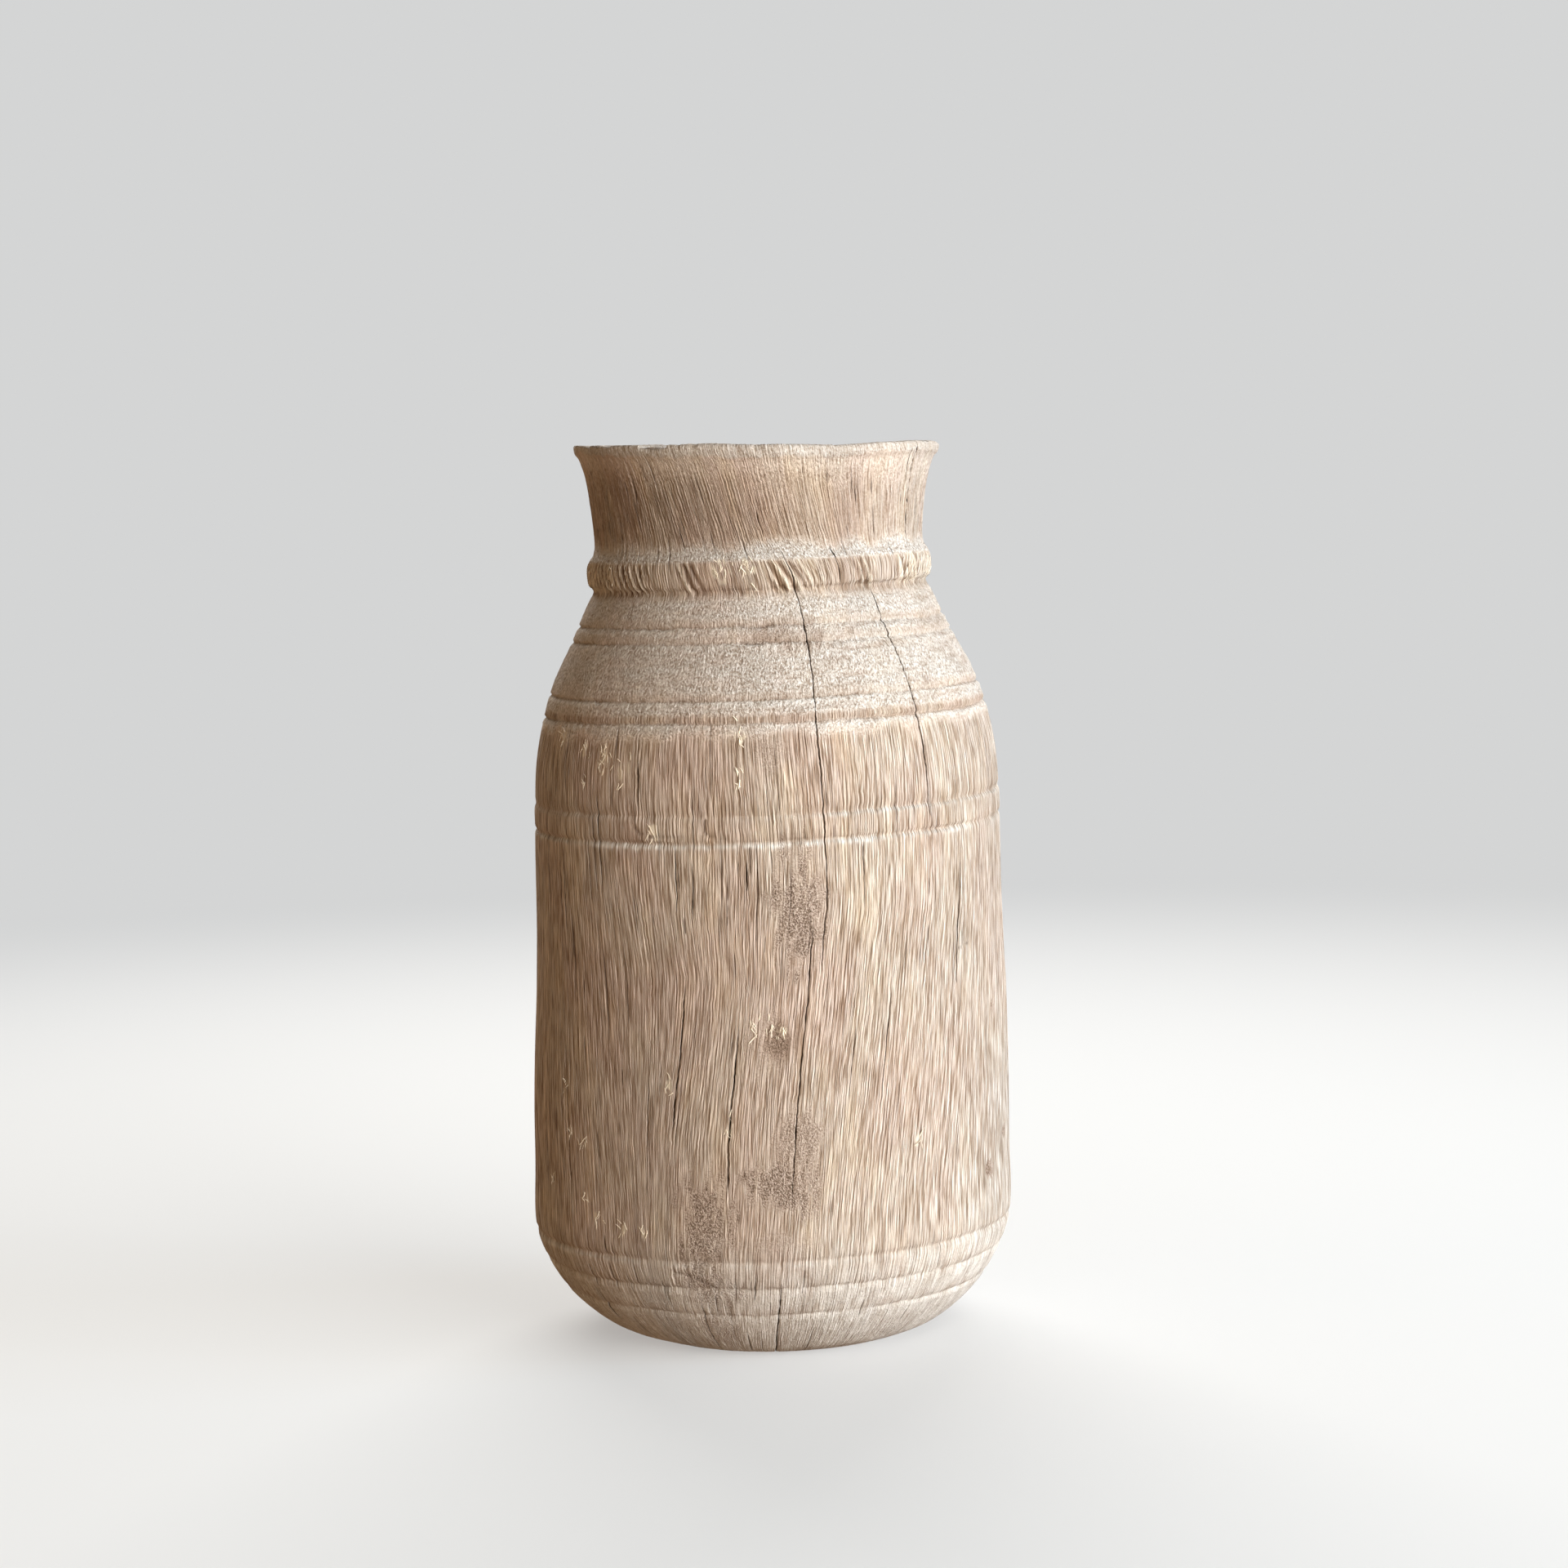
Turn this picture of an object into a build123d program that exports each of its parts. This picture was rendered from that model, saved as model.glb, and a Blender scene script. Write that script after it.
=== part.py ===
"""A hand-turned wooden pot: one hollowed log with a flared rim, and a disc let into its foot.

Lengths are millimetres and +Z is up. The pot stands on Z = 0, and the origin is the centre of its foot.
Outline points are (radius, height).
"""

from build123d import *
import math
import os

# Outside, from the floor up
FOOT_R = 50.0           # flat ring that the pot stands on
BELLY_R = 81.5
BELLY_LOW_Z = 36.5      # the rounding of the foot ends here
FOOT_ROUNDING = ((0.28, 0.10), (0.64, 0.37), (0.90, 0.72))   # (share of the way out, share of the way up)
BODY_LOW = (81.3, 88.0)
BODY_MIDDLE = (79.7, 140.0)
WAIST_OF_BODY = (79.1, 174.6)
SHOULDER = (77.7, 197.1)
SLOPE_LOW = (72.2, 218.9)
SLOPE_HIGH = (64.0, 235.7)
BEAD_LOW = (56.2, 252.4)
BEAD_CREST = (58.0, 258.8)
BEAD_TOP = (56.1, 264.4)
NECK = (55.6, 267.4)    # the neck's narrowest ring
NECK_HIGH = (56.7, 280.0)
FLARE = (58.0, 289.0)
RIM_R = 61.8
LIP_HEIGHT = 4.0        # upright face round the rim
HEIGHT = 300.0          # floor to the high side of the rim
RIM_DROP = 3.0          # the rim's +X side is this much lower than its -X side

# Turned grooves
GROOVE_HEIGHTS = (16.7, 26.1, 35.4, 171.6, 180.8, 210.2, 217.2, 235.1, 240.2)
GROOVE_DEPTH = 0.7
GROOVE_NOSE_R = 1.6     # radius of the cutting tool's nose

# Hollow
LIP_WIDTH = 7.0         # flat top of the rim
THROAT = (46.5, 263.4)  # narrowest ring of the mouth
UNDER_SHOULDER = (57.5, 222.0)
CAVITY_R = 69.5
CAVITY_TOP_Z = 187.0    # the hollow has its full width below this
CAVITY_LOW_Z = 66.0     # and above this
BOWL = (59.5, 39.0)     # a ring of the rounded floor
FLOOR_HOLE_R = 40.0     # the log is bored through at this radius
FLOOR_HOLE_Z = 26.0     # inside edge of that hole

# Bottom disc, let into a rebate from below
DISC_R = 44.0
DISC_TOP_Z = 16.0
DISC_RECESS = 1.5       # the disc sits this much above the floor
DISC_CHAMFER = 1.0

LIP_ROUND = 1.2         # worn edges of the rim
UP = (0, 1)


def foot_curve():
    """Bevelled and rounded foot, flatter than a quarter circle."""
    across = BELLY_R - FOOT_R
    rounding = [(FOOT_R + out * across, up * BELLY_LOW_Z) for out, up in FOOT_ROUNDING]
    return Spline((FOOT_R, 0), *rounding, (BELLY_R, BELLY_LOW_Z), tangents=((1, 0.25), UP))


def wall_curve():
    """Slightly swelling body, shoulder and slope, up to the cove under the bead."""
    return Spline(
        (BELLY_R, BELLY_LOW_Z),
        BODY_LOW,
        BODY_MIDDLE,
        WAIST_OF_BODY,
        SHOULDER,
        SLOPE_LOW,
        SLOPE_HIGH,
        BEAD_LOW,
        tangents=(UP, (-0.5, 1)),
    )


def neck_curves():
    """Bead, concave neck and the rim's upright face."""
    bead = ThreePointArc(BEAD_LOW, BEAD_CREST, BEAD_TOP)
    neck = Spline(
        BEAD_TOP,
        NECK,
        NECK_HIGH,
        FLARE,
        (RIM_R, HEIGHT - LIP_HEIGHT),
        tangents=((-0.4, 1), (0.7, 1)),
    )
    lip = Line((RIM_R, HEIGHT - LIP_HEIGHT), (RIM_R, HEIGHT))
    return [bead, neck, lip]


def hollow_curves():
    """Rim's inner edge down to the rebate, and back to the foot ring."""
    lip_r = RIM_R - LIP_WIDTH
    rim_top = Line((RIM_R, HEIGHT), (lip_r, HEIGHT))
    throat = Spline(
        (lip_r, HEIGHT),
        THROAT,
        UNDER_SHOULDER,
        (CAVITY_R, CAVITY_TOP_Z),
        tangents=((-0.6, -1), (0, -1)),
    )
    barrel = Line((CAVITY_R, CAVITY_TOP_Z), (CAVITY_R, CAVITY_LOW_Z))
    bowl = Spline(
        (CAVITY_R, CAVITY_LOW_Z),
        BOWL,
        (FLOOR_HOLE_R, FLOOR_HOLE_Z),
        tangents=((0, -1), (-1, -0.25)),
    )
    hole = Line((FLOOR_HOLE_R, FLOOR_HOLE_Z), (FLOOR_HOLE_R, DISC_TOP_Z))
    rebate_top = Line((FLOOR_HOLE_R, DISC_TOP_Z), (DISC_R, DISC_TOP_Z))
    rebate_wall = Line((DISC_R, DISC_TOP_Z), (DISC_R, 0))
    foot_ring = Line((DISC_R, 0), (FOOT_R, 0))
    return [rim_top, throat, barrel, bowl, hole, rebate_top, rebate_wall, foot_ring]


def outside_radius(height):
    """Radius of the pot before its grooves are cut, at a height below the bead."""
    curve = foot_curve() if height < BELLY_LOW_Z else wall_curve()
    level = Axis((0, height, 0), (1, 0, 0))
    return max(point.X for point in curve.find_intersection_points(level))


def groove_sections():
    """The tool's nose at each groove, set so that it cuts GROOVE_DEPTH into the wall."""
    for height in GROOVE_HEIGHTS:
        nose_r = outside_radius(height) - GROOVE_DEPTH + GROOVE_NOSE_R
        yield Pos(nose_r, height) * Circle(GROOVE_NOSE_R)


def cut_sloping_rim(body):
    tilt = math.degrees(math.atan2(RIM_DROP, 2 * RIM_R))
    width = 4 * RIM_R
    above = Box(width, width, width, align=(Align.CENTER, Align.CENTER, Align.MIN))
    body -= Pos(0, 0, HEIGHT - RIM_DROP / 2) * Rot(0, tilt, 0) * above
    rim_face = body.faces().sort_by(Axis.Z)[-1]
    return fillet(rim_face.edges(), LIP_ROUND)


def turned_body():
    outline = Wire([foot_curve(), wall_curve()] + neck_curves() + hollow_curves())
    section = Face(outline)
    for groove in groove_sections():
        section -= groove
    return cut_sloping_rim(revolve(Plane.XZ * section, Axis.Z))


def base_disc():
    thickness = DISC_TOP_Z - DISC_RECESS
    disc = Cylinder(DISC_R, thickness, align=(Align.CENTER, Align.CENTER, Align.MIN))
    disc = Pos(0, 0, DISC_RECESS) * disc
    lower_face = disc.faces().sort_by(Axis.Z)[0]
    return chamfer(lower_face.edges(), DISC_CHAMFER)


os.makedirs("parts", exist_ok=True)
export_step(turned_body(), "parts/turned_body.step")
export_step(base_disc(), "parts/base_disc.step")
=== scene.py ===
"""Looks of a hand-turned wooden pot: a hollowed log, dried and cracked, with a disc in its foot.

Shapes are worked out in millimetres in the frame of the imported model, and make_piece() turns them
into metres. Angles are degrees round the pot: 0 faces the front (-Y) and 90 faces +X. Outline
points are (radius, height), from the floor up on the outside and down again on the inside.
"""

import math

import bpy
import numpy as np
from mathutils import Matrix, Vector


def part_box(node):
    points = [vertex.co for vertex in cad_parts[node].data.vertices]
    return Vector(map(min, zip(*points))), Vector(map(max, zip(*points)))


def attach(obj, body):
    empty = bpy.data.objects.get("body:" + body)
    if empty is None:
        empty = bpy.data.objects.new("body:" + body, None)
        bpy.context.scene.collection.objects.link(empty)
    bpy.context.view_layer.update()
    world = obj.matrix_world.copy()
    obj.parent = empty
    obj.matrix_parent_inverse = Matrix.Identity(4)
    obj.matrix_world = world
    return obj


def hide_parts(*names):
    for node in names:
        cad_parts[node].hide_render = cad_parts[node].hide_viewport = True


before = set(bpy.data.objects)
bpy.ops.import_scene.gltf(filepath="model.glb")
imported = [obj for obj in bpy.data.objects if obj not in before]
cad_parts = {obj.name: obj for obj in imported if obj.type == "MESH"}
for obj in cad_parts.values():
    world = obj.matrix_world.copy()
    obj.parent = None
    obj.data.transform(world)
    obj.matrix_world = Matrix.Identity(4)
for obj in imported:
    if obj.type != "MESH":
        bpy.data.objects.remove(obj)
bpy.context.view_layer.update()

MM = 0.001
body_low, body_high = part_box("turned_body")
disc_low, disc_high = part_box("base_disc")

BELLY_R = (body_high.x - body_low.x) / 2 / MM
HEIGHT = body_high.z / MM
DISC_R = (disc_high.x - disc_low.x) / 2 / MM
DISC_TOP = disc_high.z / MM
DISC_BOTTOM = disc_low.z / MM

# ---- shape of the turned body

RIM_DROP = 3            # the rim's +X side is this much lower than its -X side
RIM_R = 61.8
RIM_Z = HEIGHT - RIM_DROP / 2
FOOT_R = 50
FLOOR_HOLE_R = 40
FLOOR_HOLE_Z = 26
LIP_WIDTH = 7
LIP_FACE_Z = 295.2        # the rim's upright face starts here

OUTSIDE = [
    (FOOT_R, 0), (58.8, 3.65), (70.2, 13.5), (78.3, 26.3), (BELLY_R, 36.5), (BELLY_R, 60),
    (BELLY_R - 0.2, 88), (BELLY_R - 1.8, 140), (79.1, 174.6), (77.7, 197.1), (72.2, 218.9),
    (64, 235.7),
    (58.6, 247.5), (56.4, 251.8), (56.6, 252.9), (57.6, 253.9), (58.1, 256.5), (58.1, 259.8),
    (57.3, 262.4),
    (55.9, 264.8), (55.5, 268.5),
    (56.5, 280), (57.8, 288), (59.3, 292.2), (60.3, 294), (RIM_R - 0.4, 295.1),
    (RIM_R + 0.1, 296.7),
    (RIM_R + 0.1, RIM_Z - 0.7),
]
RIM_TOP = [
    (RIM_R + 0.1, RIM_Z - 0.7), (RIM_R - 0.6, RIM_Z), (RIM_R - 0.5 * LIP_WIDTH, RIM_Z),
    (RIM_R - LIP_WIDTH + 1.2, RIM_Z - 0.1), (RIM_R - LIP_WIDTH - 0.6, RIM_Z - 1.6),
]
INSIDE = [
    (RIM_R - LIP_WIDTH - 0.6, RIM_Z - 1.6), (50.8, 292), (48.5, 285), (46.5, 269), (47.9, 250),
    (53.5, 230),
    (62.6, 215), (68.4, 200), (69.5, 184), (69.5, 66), (66.5, 51), (58.7, 38), (49.6, 30),
    (FLOOR_HOLE_R, FLOOR_HOLE_Z),
]
REBATE = [
    (FLOOR_HOLE_R, FLOOR_HOLE_Z), (FLOOR_HOLE_R, DISC_TOP), (DISC_R, DISC_TOP), (DISC_R, 0.6),
]
FOOT_RING = [(DISC_R, 0.6), (DISC_R + 0.6, 0), (FOOT_R, 0)]

# How far the turned rings lean (rise towards +X per mm) and how far their centre is off the axis
LEAN = [
    (0, 0), (20, 0.010), (60, 0.013), (262, 0.013), (283, 0),
    (RIM_Z, -RIM_DROP / (2 * RIM_R)),
]
DRIFT = [(0, -0.5), (40, -0.8), (75, -0.4), (115, 0.5), (205, 0.6), (240, 0), (300, -0.3)]

# The rim isn't flat: how far it rises above the turned plane at each angle
RIM_RISE = [
    (-180, 0.3), (-120, 0.6), (-75, 1.3), (-40, 0.8), (0, 0.6), (28, 0.9), (44, 1.9), (60, 2.4),
    (78, 2.1), (110, 0.8), (180, 0.3),
]
RIM_RISE_START, RIM_RISE_FULL = 286, 297      # heights between which that rise sets in

# Lines of grain, each as (height, angle) points. A line is named by its angle at GRAIN_LEVEL.
GRAIN_LEVEL = 150
GRAIN_LINES = [
    [(0, -135), (300, -135)],
    [(0, -95), (300, -95)],
    [(0, -54), (50, -55.5), (100, -58), (150, -61), (200, -63), (300, -62)],
    [(0, -34), (50, -35), (100, -38), (156, -42.2), (187, -44.3), (255, -44.5), (270, -46),
     (300, -51)],
    [(0, -25), (40, -24), (78, -23.3), (108, -21), (129, -19.6), (150, -21.5), (255, -23),
     (268, -25.5),
     (284, -30), (300, -34)],
    [(0, 3), (60, 7.2), (110, 10.2), (134, 11.8), (154, 13.6), (206, 12.8), (236, 13.4),
     (246, 12.7), (256, 10.7), (266, 6.6), (276, 3.4), (300, -2)],
    [(0, 15), (50, 18), (100, 22), (150, 27), (200, 28), (256, 28), (264, 25.5), (274, 22.5),
     (286, 19.5), (300, 17)],
    [(0, 30), (50, 32), (100, 36), (150, 41.5), (176, 42), (232, 41.7), (252, 40), (275, 37),
     (300, 33)],
    [(0, 52), (50, 53), (100, 56), (150, 61), (255, 62), (270, 63.5), (289, 63.5), (295, 62),
     (300, 60)],
    [(0, 95), (300, 95)],
    [(0, 135), (300, 135)],
    [(0, 180), (300, 180)],
]

# Drying cracks: angle of their grain line, lower and upper end, half width and depth
CRACKS = [
    (13.4, 130, 268, 0.18, 2.2), (10.6, 57, 148, 0.23, 2.4), (41.5, 175, 253, 0.25, 2),
    (27, 254, 266, 0.26, 1.3),
    (51.5, 254, 266, 0.2, 1), (61, 263, 300, 0.42, 2), (-61, 287, 297, 0.26, 1.1),
    (-21.5, 76, 131, 0.34, 2.2), (-6.2, 58, 113, 0.34, 2.2), (-60, 44, 104, 0.22, 1.2),
    (-31, 66, 96, 0.2, 1.1), (-37.5, 112, 140, 0.2, 1), (32, 84, 122, 0.18, 1),
    (-42, 154, 189, 0.25, 1.4), (-46.3, 154, 174, 0.23, 1.2), (-21.7, 150, 173, 0.25, 1.3),
    (-30, 183, 200, 0.2, 1.1),
    (-17.7, 149, 166, 0.2, 1), (-5, 157, 167, 0.2, 1), (22.5, 150, 171, 0.18, 1),
    (52.5, 120, 160, 0.2, 1.1),
    (-61.3, 187, 198, 0.22, 1), (9.2, 0, 31, 0.28, 1.7), (-14, 2, 23, 0.24, 1.3),
    (2.1, 24, 33, 0.22, 1.1),
    # the far side
    (98, 70, 205, 0.26, 2), (133, 150, 264, 0.26, 2), (176, 38, 168, 0.3, 2.6),
    (-171, 200, 300, 0.26, 1.9), (-138, 90, 180, 0.25, 1.9), (-112, 186, 256, 0.22, 1.6),
    (-98, 0, 46, 0.25, 1.5), (148, 0, 38, 0.25, 1.5), (-128, 262, 300, 0.22, 1.4),
]

# Turned grooves: height, depth, reach above the deepest line, reach below it
GROOVES = [
    (241, 1, 0.5, 2), (235.9, 1.05, 0.5, 2.2), (218.1, 1.05, 0.5, 2),
    (210.9, 1.2, 0.7, 2.6),
    (181.3, 0.75, 2.2, 1.6), (172.6, 0.95, 1.2, 1.8), (36.2, 0.75, 1.6, 2.4),
    (26.8, 0.7, 1.4, 2.4),
    (17.2, 0.55, 1.4, 2.2),
]

LOW_SHOULDER_GROOVE, TORN_RING_TOP, TORN_RING_LOW = 3, 4, 5     # places in GROOVES

# Patches of end grain round buried knots: angle, height, half width, half height, strength and
# depth. The ones narrower than SMALL_KNOT are darker.
SMALL_KNOT = 5
PATCHES = [
    (7, 237.5, 12, 5.8, 0.7, 0.25), (1.8, 201.5, 6, 6, 0.6, 0.1), (7, 150, 9, 23, 1, 0.35),
    (1.2, 107.2, 4.9, 6.2, 0.9, 0.9), (-0.5, 108, 8, 10, 0.5, 0.3),
    (6, 76, 8, 13, 0.8, 0.3), (2, 60, 12, 11, 1, 0.5),
    (-15.5, 47, 12, 18, 1, 0.45), (-15, 27, 11, 9, 1, 0.3), (-14.5, 14, 7, 9, 0.8, 0.2),
    (2, 42, 12, 5, 0.5, 0.1),
    (48, 220.5, 4, 2.4, 0.35, 0.2), (67, 110, 2.6, 3.2, 1, 0.7), (63, 56, 3.4, 3, 0.9, 0.5),
    (75, 66, 2.5, 2, 0.8, 0.4), (-63, 182, 6, 5, 0.4, 0.1),
    # the far side
    (150, 120, 10, 14, 1, 0.5), (-105, 60, 8, 16, 1, 0.4), (-150, 225, 16, 7, 0.9, 0.3),
    (118, 40, 11, 9, 0.9, 0.3), (-160, 150, 5, 22, 0.9, 0.3), (100, 226, 8, 4, 0.7, 0.2),
]

# Torn tufts of pale fibre: angle, height, spread, number of slivers
TUFTS = [
    (-43.2, 198, 3.2, 16), (-5.7, 206, 2.4, 8), (-5.7, 194, 2.6, 6), (-61, 206, 2.5, 6),
    (-50, 202, 2.5, 6),
    (-55, 76, 2, 7), (-50, 72.5, 2.4, 7), (-64, 59, 2, 4), (-49, 54, 1.6, 4),
    (-45, 49, 2.4, 5),
    (-37, 46, 2, 5), (-31, 45, 1.6, 4), (-9.4, 80, 2.2, 8), (36, 72, 2, 4),
    (-3.4, 113, 2.4, 9),
    (0.2, 112.4, 2, 9), (2.8, 111.4, 1.6, 6), (-24, 94, 2, 5), (-57, 90, 2, 4),
    (-36, 196, 3, 5), (-49, 192, 2, 6), (-3, 260, 3, 10), (-12, 259, 4, 8),
    (-58, 258, 3, 6),
    (-27, 176, 2.5, 6), (125, 190, 3, 10), (-120, 120, 3, 9), (170, 60, 3, 9),
]

# Short tool nicks as (angle, height) lines, with half width and depth
NICKS = [
    ([(-33, 178), (-31, 175.6), (-27, 174.6), (-19, 174.4)], 0.5, 0.7),
    ([(-14.5, 180), (-14.6, 176.4), (-13.2, 174.5), (-9.5, 174.2)], 0.5, 0.8),
    ([(-6.5, 241.6), (-4.6, 240.6), (0, 240.4), (4, 241.4)], 0.4, 0.6),
    ([(-5.6, 236.2), (-2.4, 235.2), (0.5, 235.4)], 0.4, 0.5),
    ([(-24, 33), (-19, 31.5), (-14, 27.5)], 0.5, 0.5),
    ([(44, 221), (47, 222.4), (50, 221)], 0.35, 0.5),
    ([(50, 132), (55, 133.4)], 0.3, 0.3),
    ([(-37, 298.6), (-33.5, 297.6), (-31, 298.2), (-28, 298.8)], 0.8, 1.2),
    ([(-55, 299.4), (-51, 298.8)], 0.6, 0.7),
]

SHOULDER_START = 208      # the fuzzy bleached shoulder begins at about this height

# Mesh columns and rows
BASE_COLUMNS = 1600
CRACK_COLUMNS = (0, 0.10, 0.22, 0.40, 0.70)     # mm to each side of a crack
CRACK_CLEARANCE = 0.9     # mm beside a crack without other columns
NARROWEST_GAP = 0.08      # mm between neighbouring columns
COARSE = 4                # inside, only every fourth column is kept
FLOOR_ROW, RIM_TOP_ROW, FINE_ROW, MIDDLE_ROW, COARSE_ROW = 1.2, 0.5, 0.42, 0.90, 2.6

HAIRLINES = 420           # number of fine checks, each in one of these ranges of height
CHECK_ZONES = ((45, 200), (130, 206), (2, 40), (264, 292))
OWN_COLUMN = np.full((1, 1), 0.3)

# Masks of the mesh, and what they say where they aren't worked out vertex by vertex
MASKS = ("crack", "dirt_and_shade", "pale", "knot", "torn", "chalk_and_bounce", "outside", "ridge", "granular")
INSIDE_WOOD = (0, 0.25, 0.1, 0.35, 0, 0, 1, 0.5, 0.4)
SLIVER_WOOD = (0, 0, 0.3, 0, 1, 0, 1, 0.9, 0)
SAWN_WOOD = (0, 0.2, 0.1, 0.5, 0, 0, 1, 0.5, 0.9)


def ease(low, high, value):
    """Smooth step from 0 at low to 1 at high."""
    x = np.clip((value - low) / (high - low), 0, 1)
    return x * x * (3 - 2 * x)


def bell(value, width):
    """1 at 0, falling off smoothly to about a third at width."""
    return np.exp(-(value / width) ** 2)


def wrapped(degrees):
    """The same angles between -180 and 180."""
    return (degrees + 180) % 360 - 180


def lengths_along(line):
    """Length from the start of a polyline to each of its points."""
    return np.concatenate([[0], np.cumsum(np.hypot(*np.diff(line, axis=0).T))])


def through(points, at):
    """Straight lines through (place, value) points, read at the given places."""
    places, values = zip(*points)
    return np.interp(at, places, values)


def spline(points, samples=60):
    """Centripetal Catmull-Rom curve through outline points, as a dense polyline."""
    p = np.array(points, float)
    p = np.vstack([2 * p[0] - p[1], p, 2 * p[-1] - p[-2]])
    knots = np.concatenate([[0], np.cumsum(np.hypot(*np.diff(p, axis=0).T) ** 0.5)])
    curve = []

    def between(ta, tb, a, b):
        return ((tb - t) * a + (t - ta) * b) / (tb - ta)

    for i in range(1, len(p) - 2):
        t0, t1, t2, t3 = knots[i - 1:i + 3]
        t = np.linspace(t1, t2, samples, endpoint=False)[:, None]
        a1 = between(t0, t1, p[i - 1], p[i])
        a2 = between(t1, t2, p[i], p[i + 1])
        a3 = between(t2, t3, p[i + 1], p[i + 2])
        curve.append(between(t1, t2, between(t0, t2, a1, a2), between(t1, t3, a2, a3)))
    return np.vstack(curve + [p[-2:-1]])


def resample(line, step):
    """Points along a polyline, spaced by step(radius, height)."""
    length = lengths_along(line)
    stations = [0]
    while stations[-1] < length[-1]:
        r, z = (np.interp(stations[-1], length, line[:, k]) for k in (0, 1))
        stations.append(stations[-1] + step(r, z))
    stations = np.array(stations) * length[-1] / stations[-1]
    return np.column_stack([np.interp(stations, length, line[:, k]) for k in (0, 1)])


def noise(seed, across, along, cells):
    """Smooth noise from -1 to 1. across runs from 0 to cells once round, along is any number."""
    along = along - along.min()
    table = np.random.default_rng(seed).uniform(-1, 1, (cells, int(along.max()) + 3))
    i, j = np.floor(across).astype(int), np.floor(along).astype(int)
    u, v = across - i, along - j
    u, v = u * u * (3 - 2 * u), v * v * (3 - 2 * v)
    left, right = i % cells, (i + 1) % cells
    low = table[left, j] * (1 - u) + table[right, j] * u
    high = table[left, j + 1] * (1 - u) + table[right, j + 1] * u
    return low * (1 - v) + high * v


def round_noise(seed, turn, length, size, stretch=1):
    """noise() with cells of a size in mm at the belly, stretched along the grain."""
    cells = int(round(2 * math.pi * BELLY_R / size))
    return noise(seed, turn * cells, length / (size * stretch), cells)


def fibres(seed, turn, length, width, run):
    """Heights 0 to 1 of slender ridges, width across and about run long, tapered at both ends."""
    rng = np.random.default_rng(seed)
    ridge = np.zeros(np.broadcast(turn, length).shape)
    for layer in range(3):
        cells = int(round(2 * math.pi * BELLY_R / (width * (1 + 0.13 * layer))))
        across = turn * cells + layer / 3
        i = np.floor(across).astype(int) % cells
        runs = run * rng.uniform(0.6, 1.6, cells)
        along = length / runs[i] + rng.uniform(0, 50, cells)[i]
        j = np.floor(along).astype(int)
        j -= j.min()
        table = rng.random((3, cells, j.max() + 1))
        middle = 0.5 + 0.16 * (table[0, i, j] - 0.5)
        taper = np.sin(math.pi * (along - np.floor(along))) ** 0.35
        half = (0.26 + 0.2 * table[1, i, j]) * taper + 1e-4
        bump = np.clip(1 - np.abs(across - np.floor(across) - middle) / half, 0, 1)
        ridge = np.maximum(ridge, bump * (0.5 + 0.5 * table[2, i, j]))
    return ridge


def column_turns():
    """Places of the mesh columns, in degrees of grain line, close together beside each crack."""
    per_mm = 360 / (2 * math.pi * BELLY_R)
    crack_lines = np.array([crack[0] for crack in CRACKS])
    base = np.linspace(-180, 180, BASE_COLUMNS, endpoint=False)
    gap = np.abs(wrapped(base[:, None] - crack_lines)).min(axis=1)
    base = base[gap > CRACK_CLEARANCE * per_mm]
    beside = [
        line + side * offset * per_mm
        for line in crack_lines for offset in CRACK_COLUMNS for side in (-1, 1)
    ]
    turns = np.unique(np.round(np.concatenate([base, beside]), 4))
    turns = turns[np.concatenate([[True], np.diff(turns) > NARROWEST_GAP * per_mm])]
    spare = len(turns) % COARSE
    return np.delete(turns, np.arange(2, 2 + 3 * spare, 3)) if spare else turns


def grain_shift(turns, heights):
    """How far each column lies round from its own angle at each height, to follow the grain."""
    names = np.array([through(line, GRAIN_LEVEL) for line in GRAIN_LINES])
    grid_turn = np.arange(-180, 180, 1)
    grid_step = 2
    grid_z = np.arange(0, HEIGHT + 3, grid_step)
    shift = np.empty((len(grid_z), len(grid_turn)))
    for row, z in enumerate(grid_z):
        here = np.array([through(line, z) for line in GRAIN_LINES]) - names
        shift[row] = np.interp(grid_turn, names, here, period=360)
    for _ in range(6):
        shift = (np.roll(shift, 1, 1) + 2 * shift + np.roll(shift, -1, 1)) / 4
    for _ in range(2):
        padded = np.pad(shift, ((1, 1), (0, 0)), mode="edge")
        shift = (padded[:-2] + 2 * shift + padded[2:]) / 4
    turn = turns[None, :] % 360
    column = (turn + 180) % 360
    i = np.floor(column).astype(int) % 360
    f = column - np.floor(column)
    rows = np.clip(heights / grid_step, 0, len(grid_z) - 1.001)
    j = np.floor(rows).astype(int)[:, None]
    g = (rows - np.floor(rows))[:, None]
    low = shift[j, i] * (1 - f) + shift[j, (i + 1) % 360] * f
    high = shift[j + 1, i] * (1 - f) + shift[j + 1, (i + 1) % 360] * f
    return low * (1 - g) + high * g


def lines_distance(points, across, height):
    """Distance in mm to a line of (angle, height) points, for points given the same way."""
    scale = math.radians(1) * BELLY_R
    nearest = np.full(across.shape, 1e3)
    for (a0, z0), (a1, z1) in zip(points, points[1:]):
        dx, dz = (a1 - a0) * scale, z1 - z0
        px, pz = (across - a0) * scale, height - z0
        along = np.clip((px * dx + pz * dz) / (dx * dx + dz * dz), 0, 1)
        nearest = np.minimum(nearest, np.hypot(px - along * dx, pz - along * dz))
    return nearest


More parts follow.
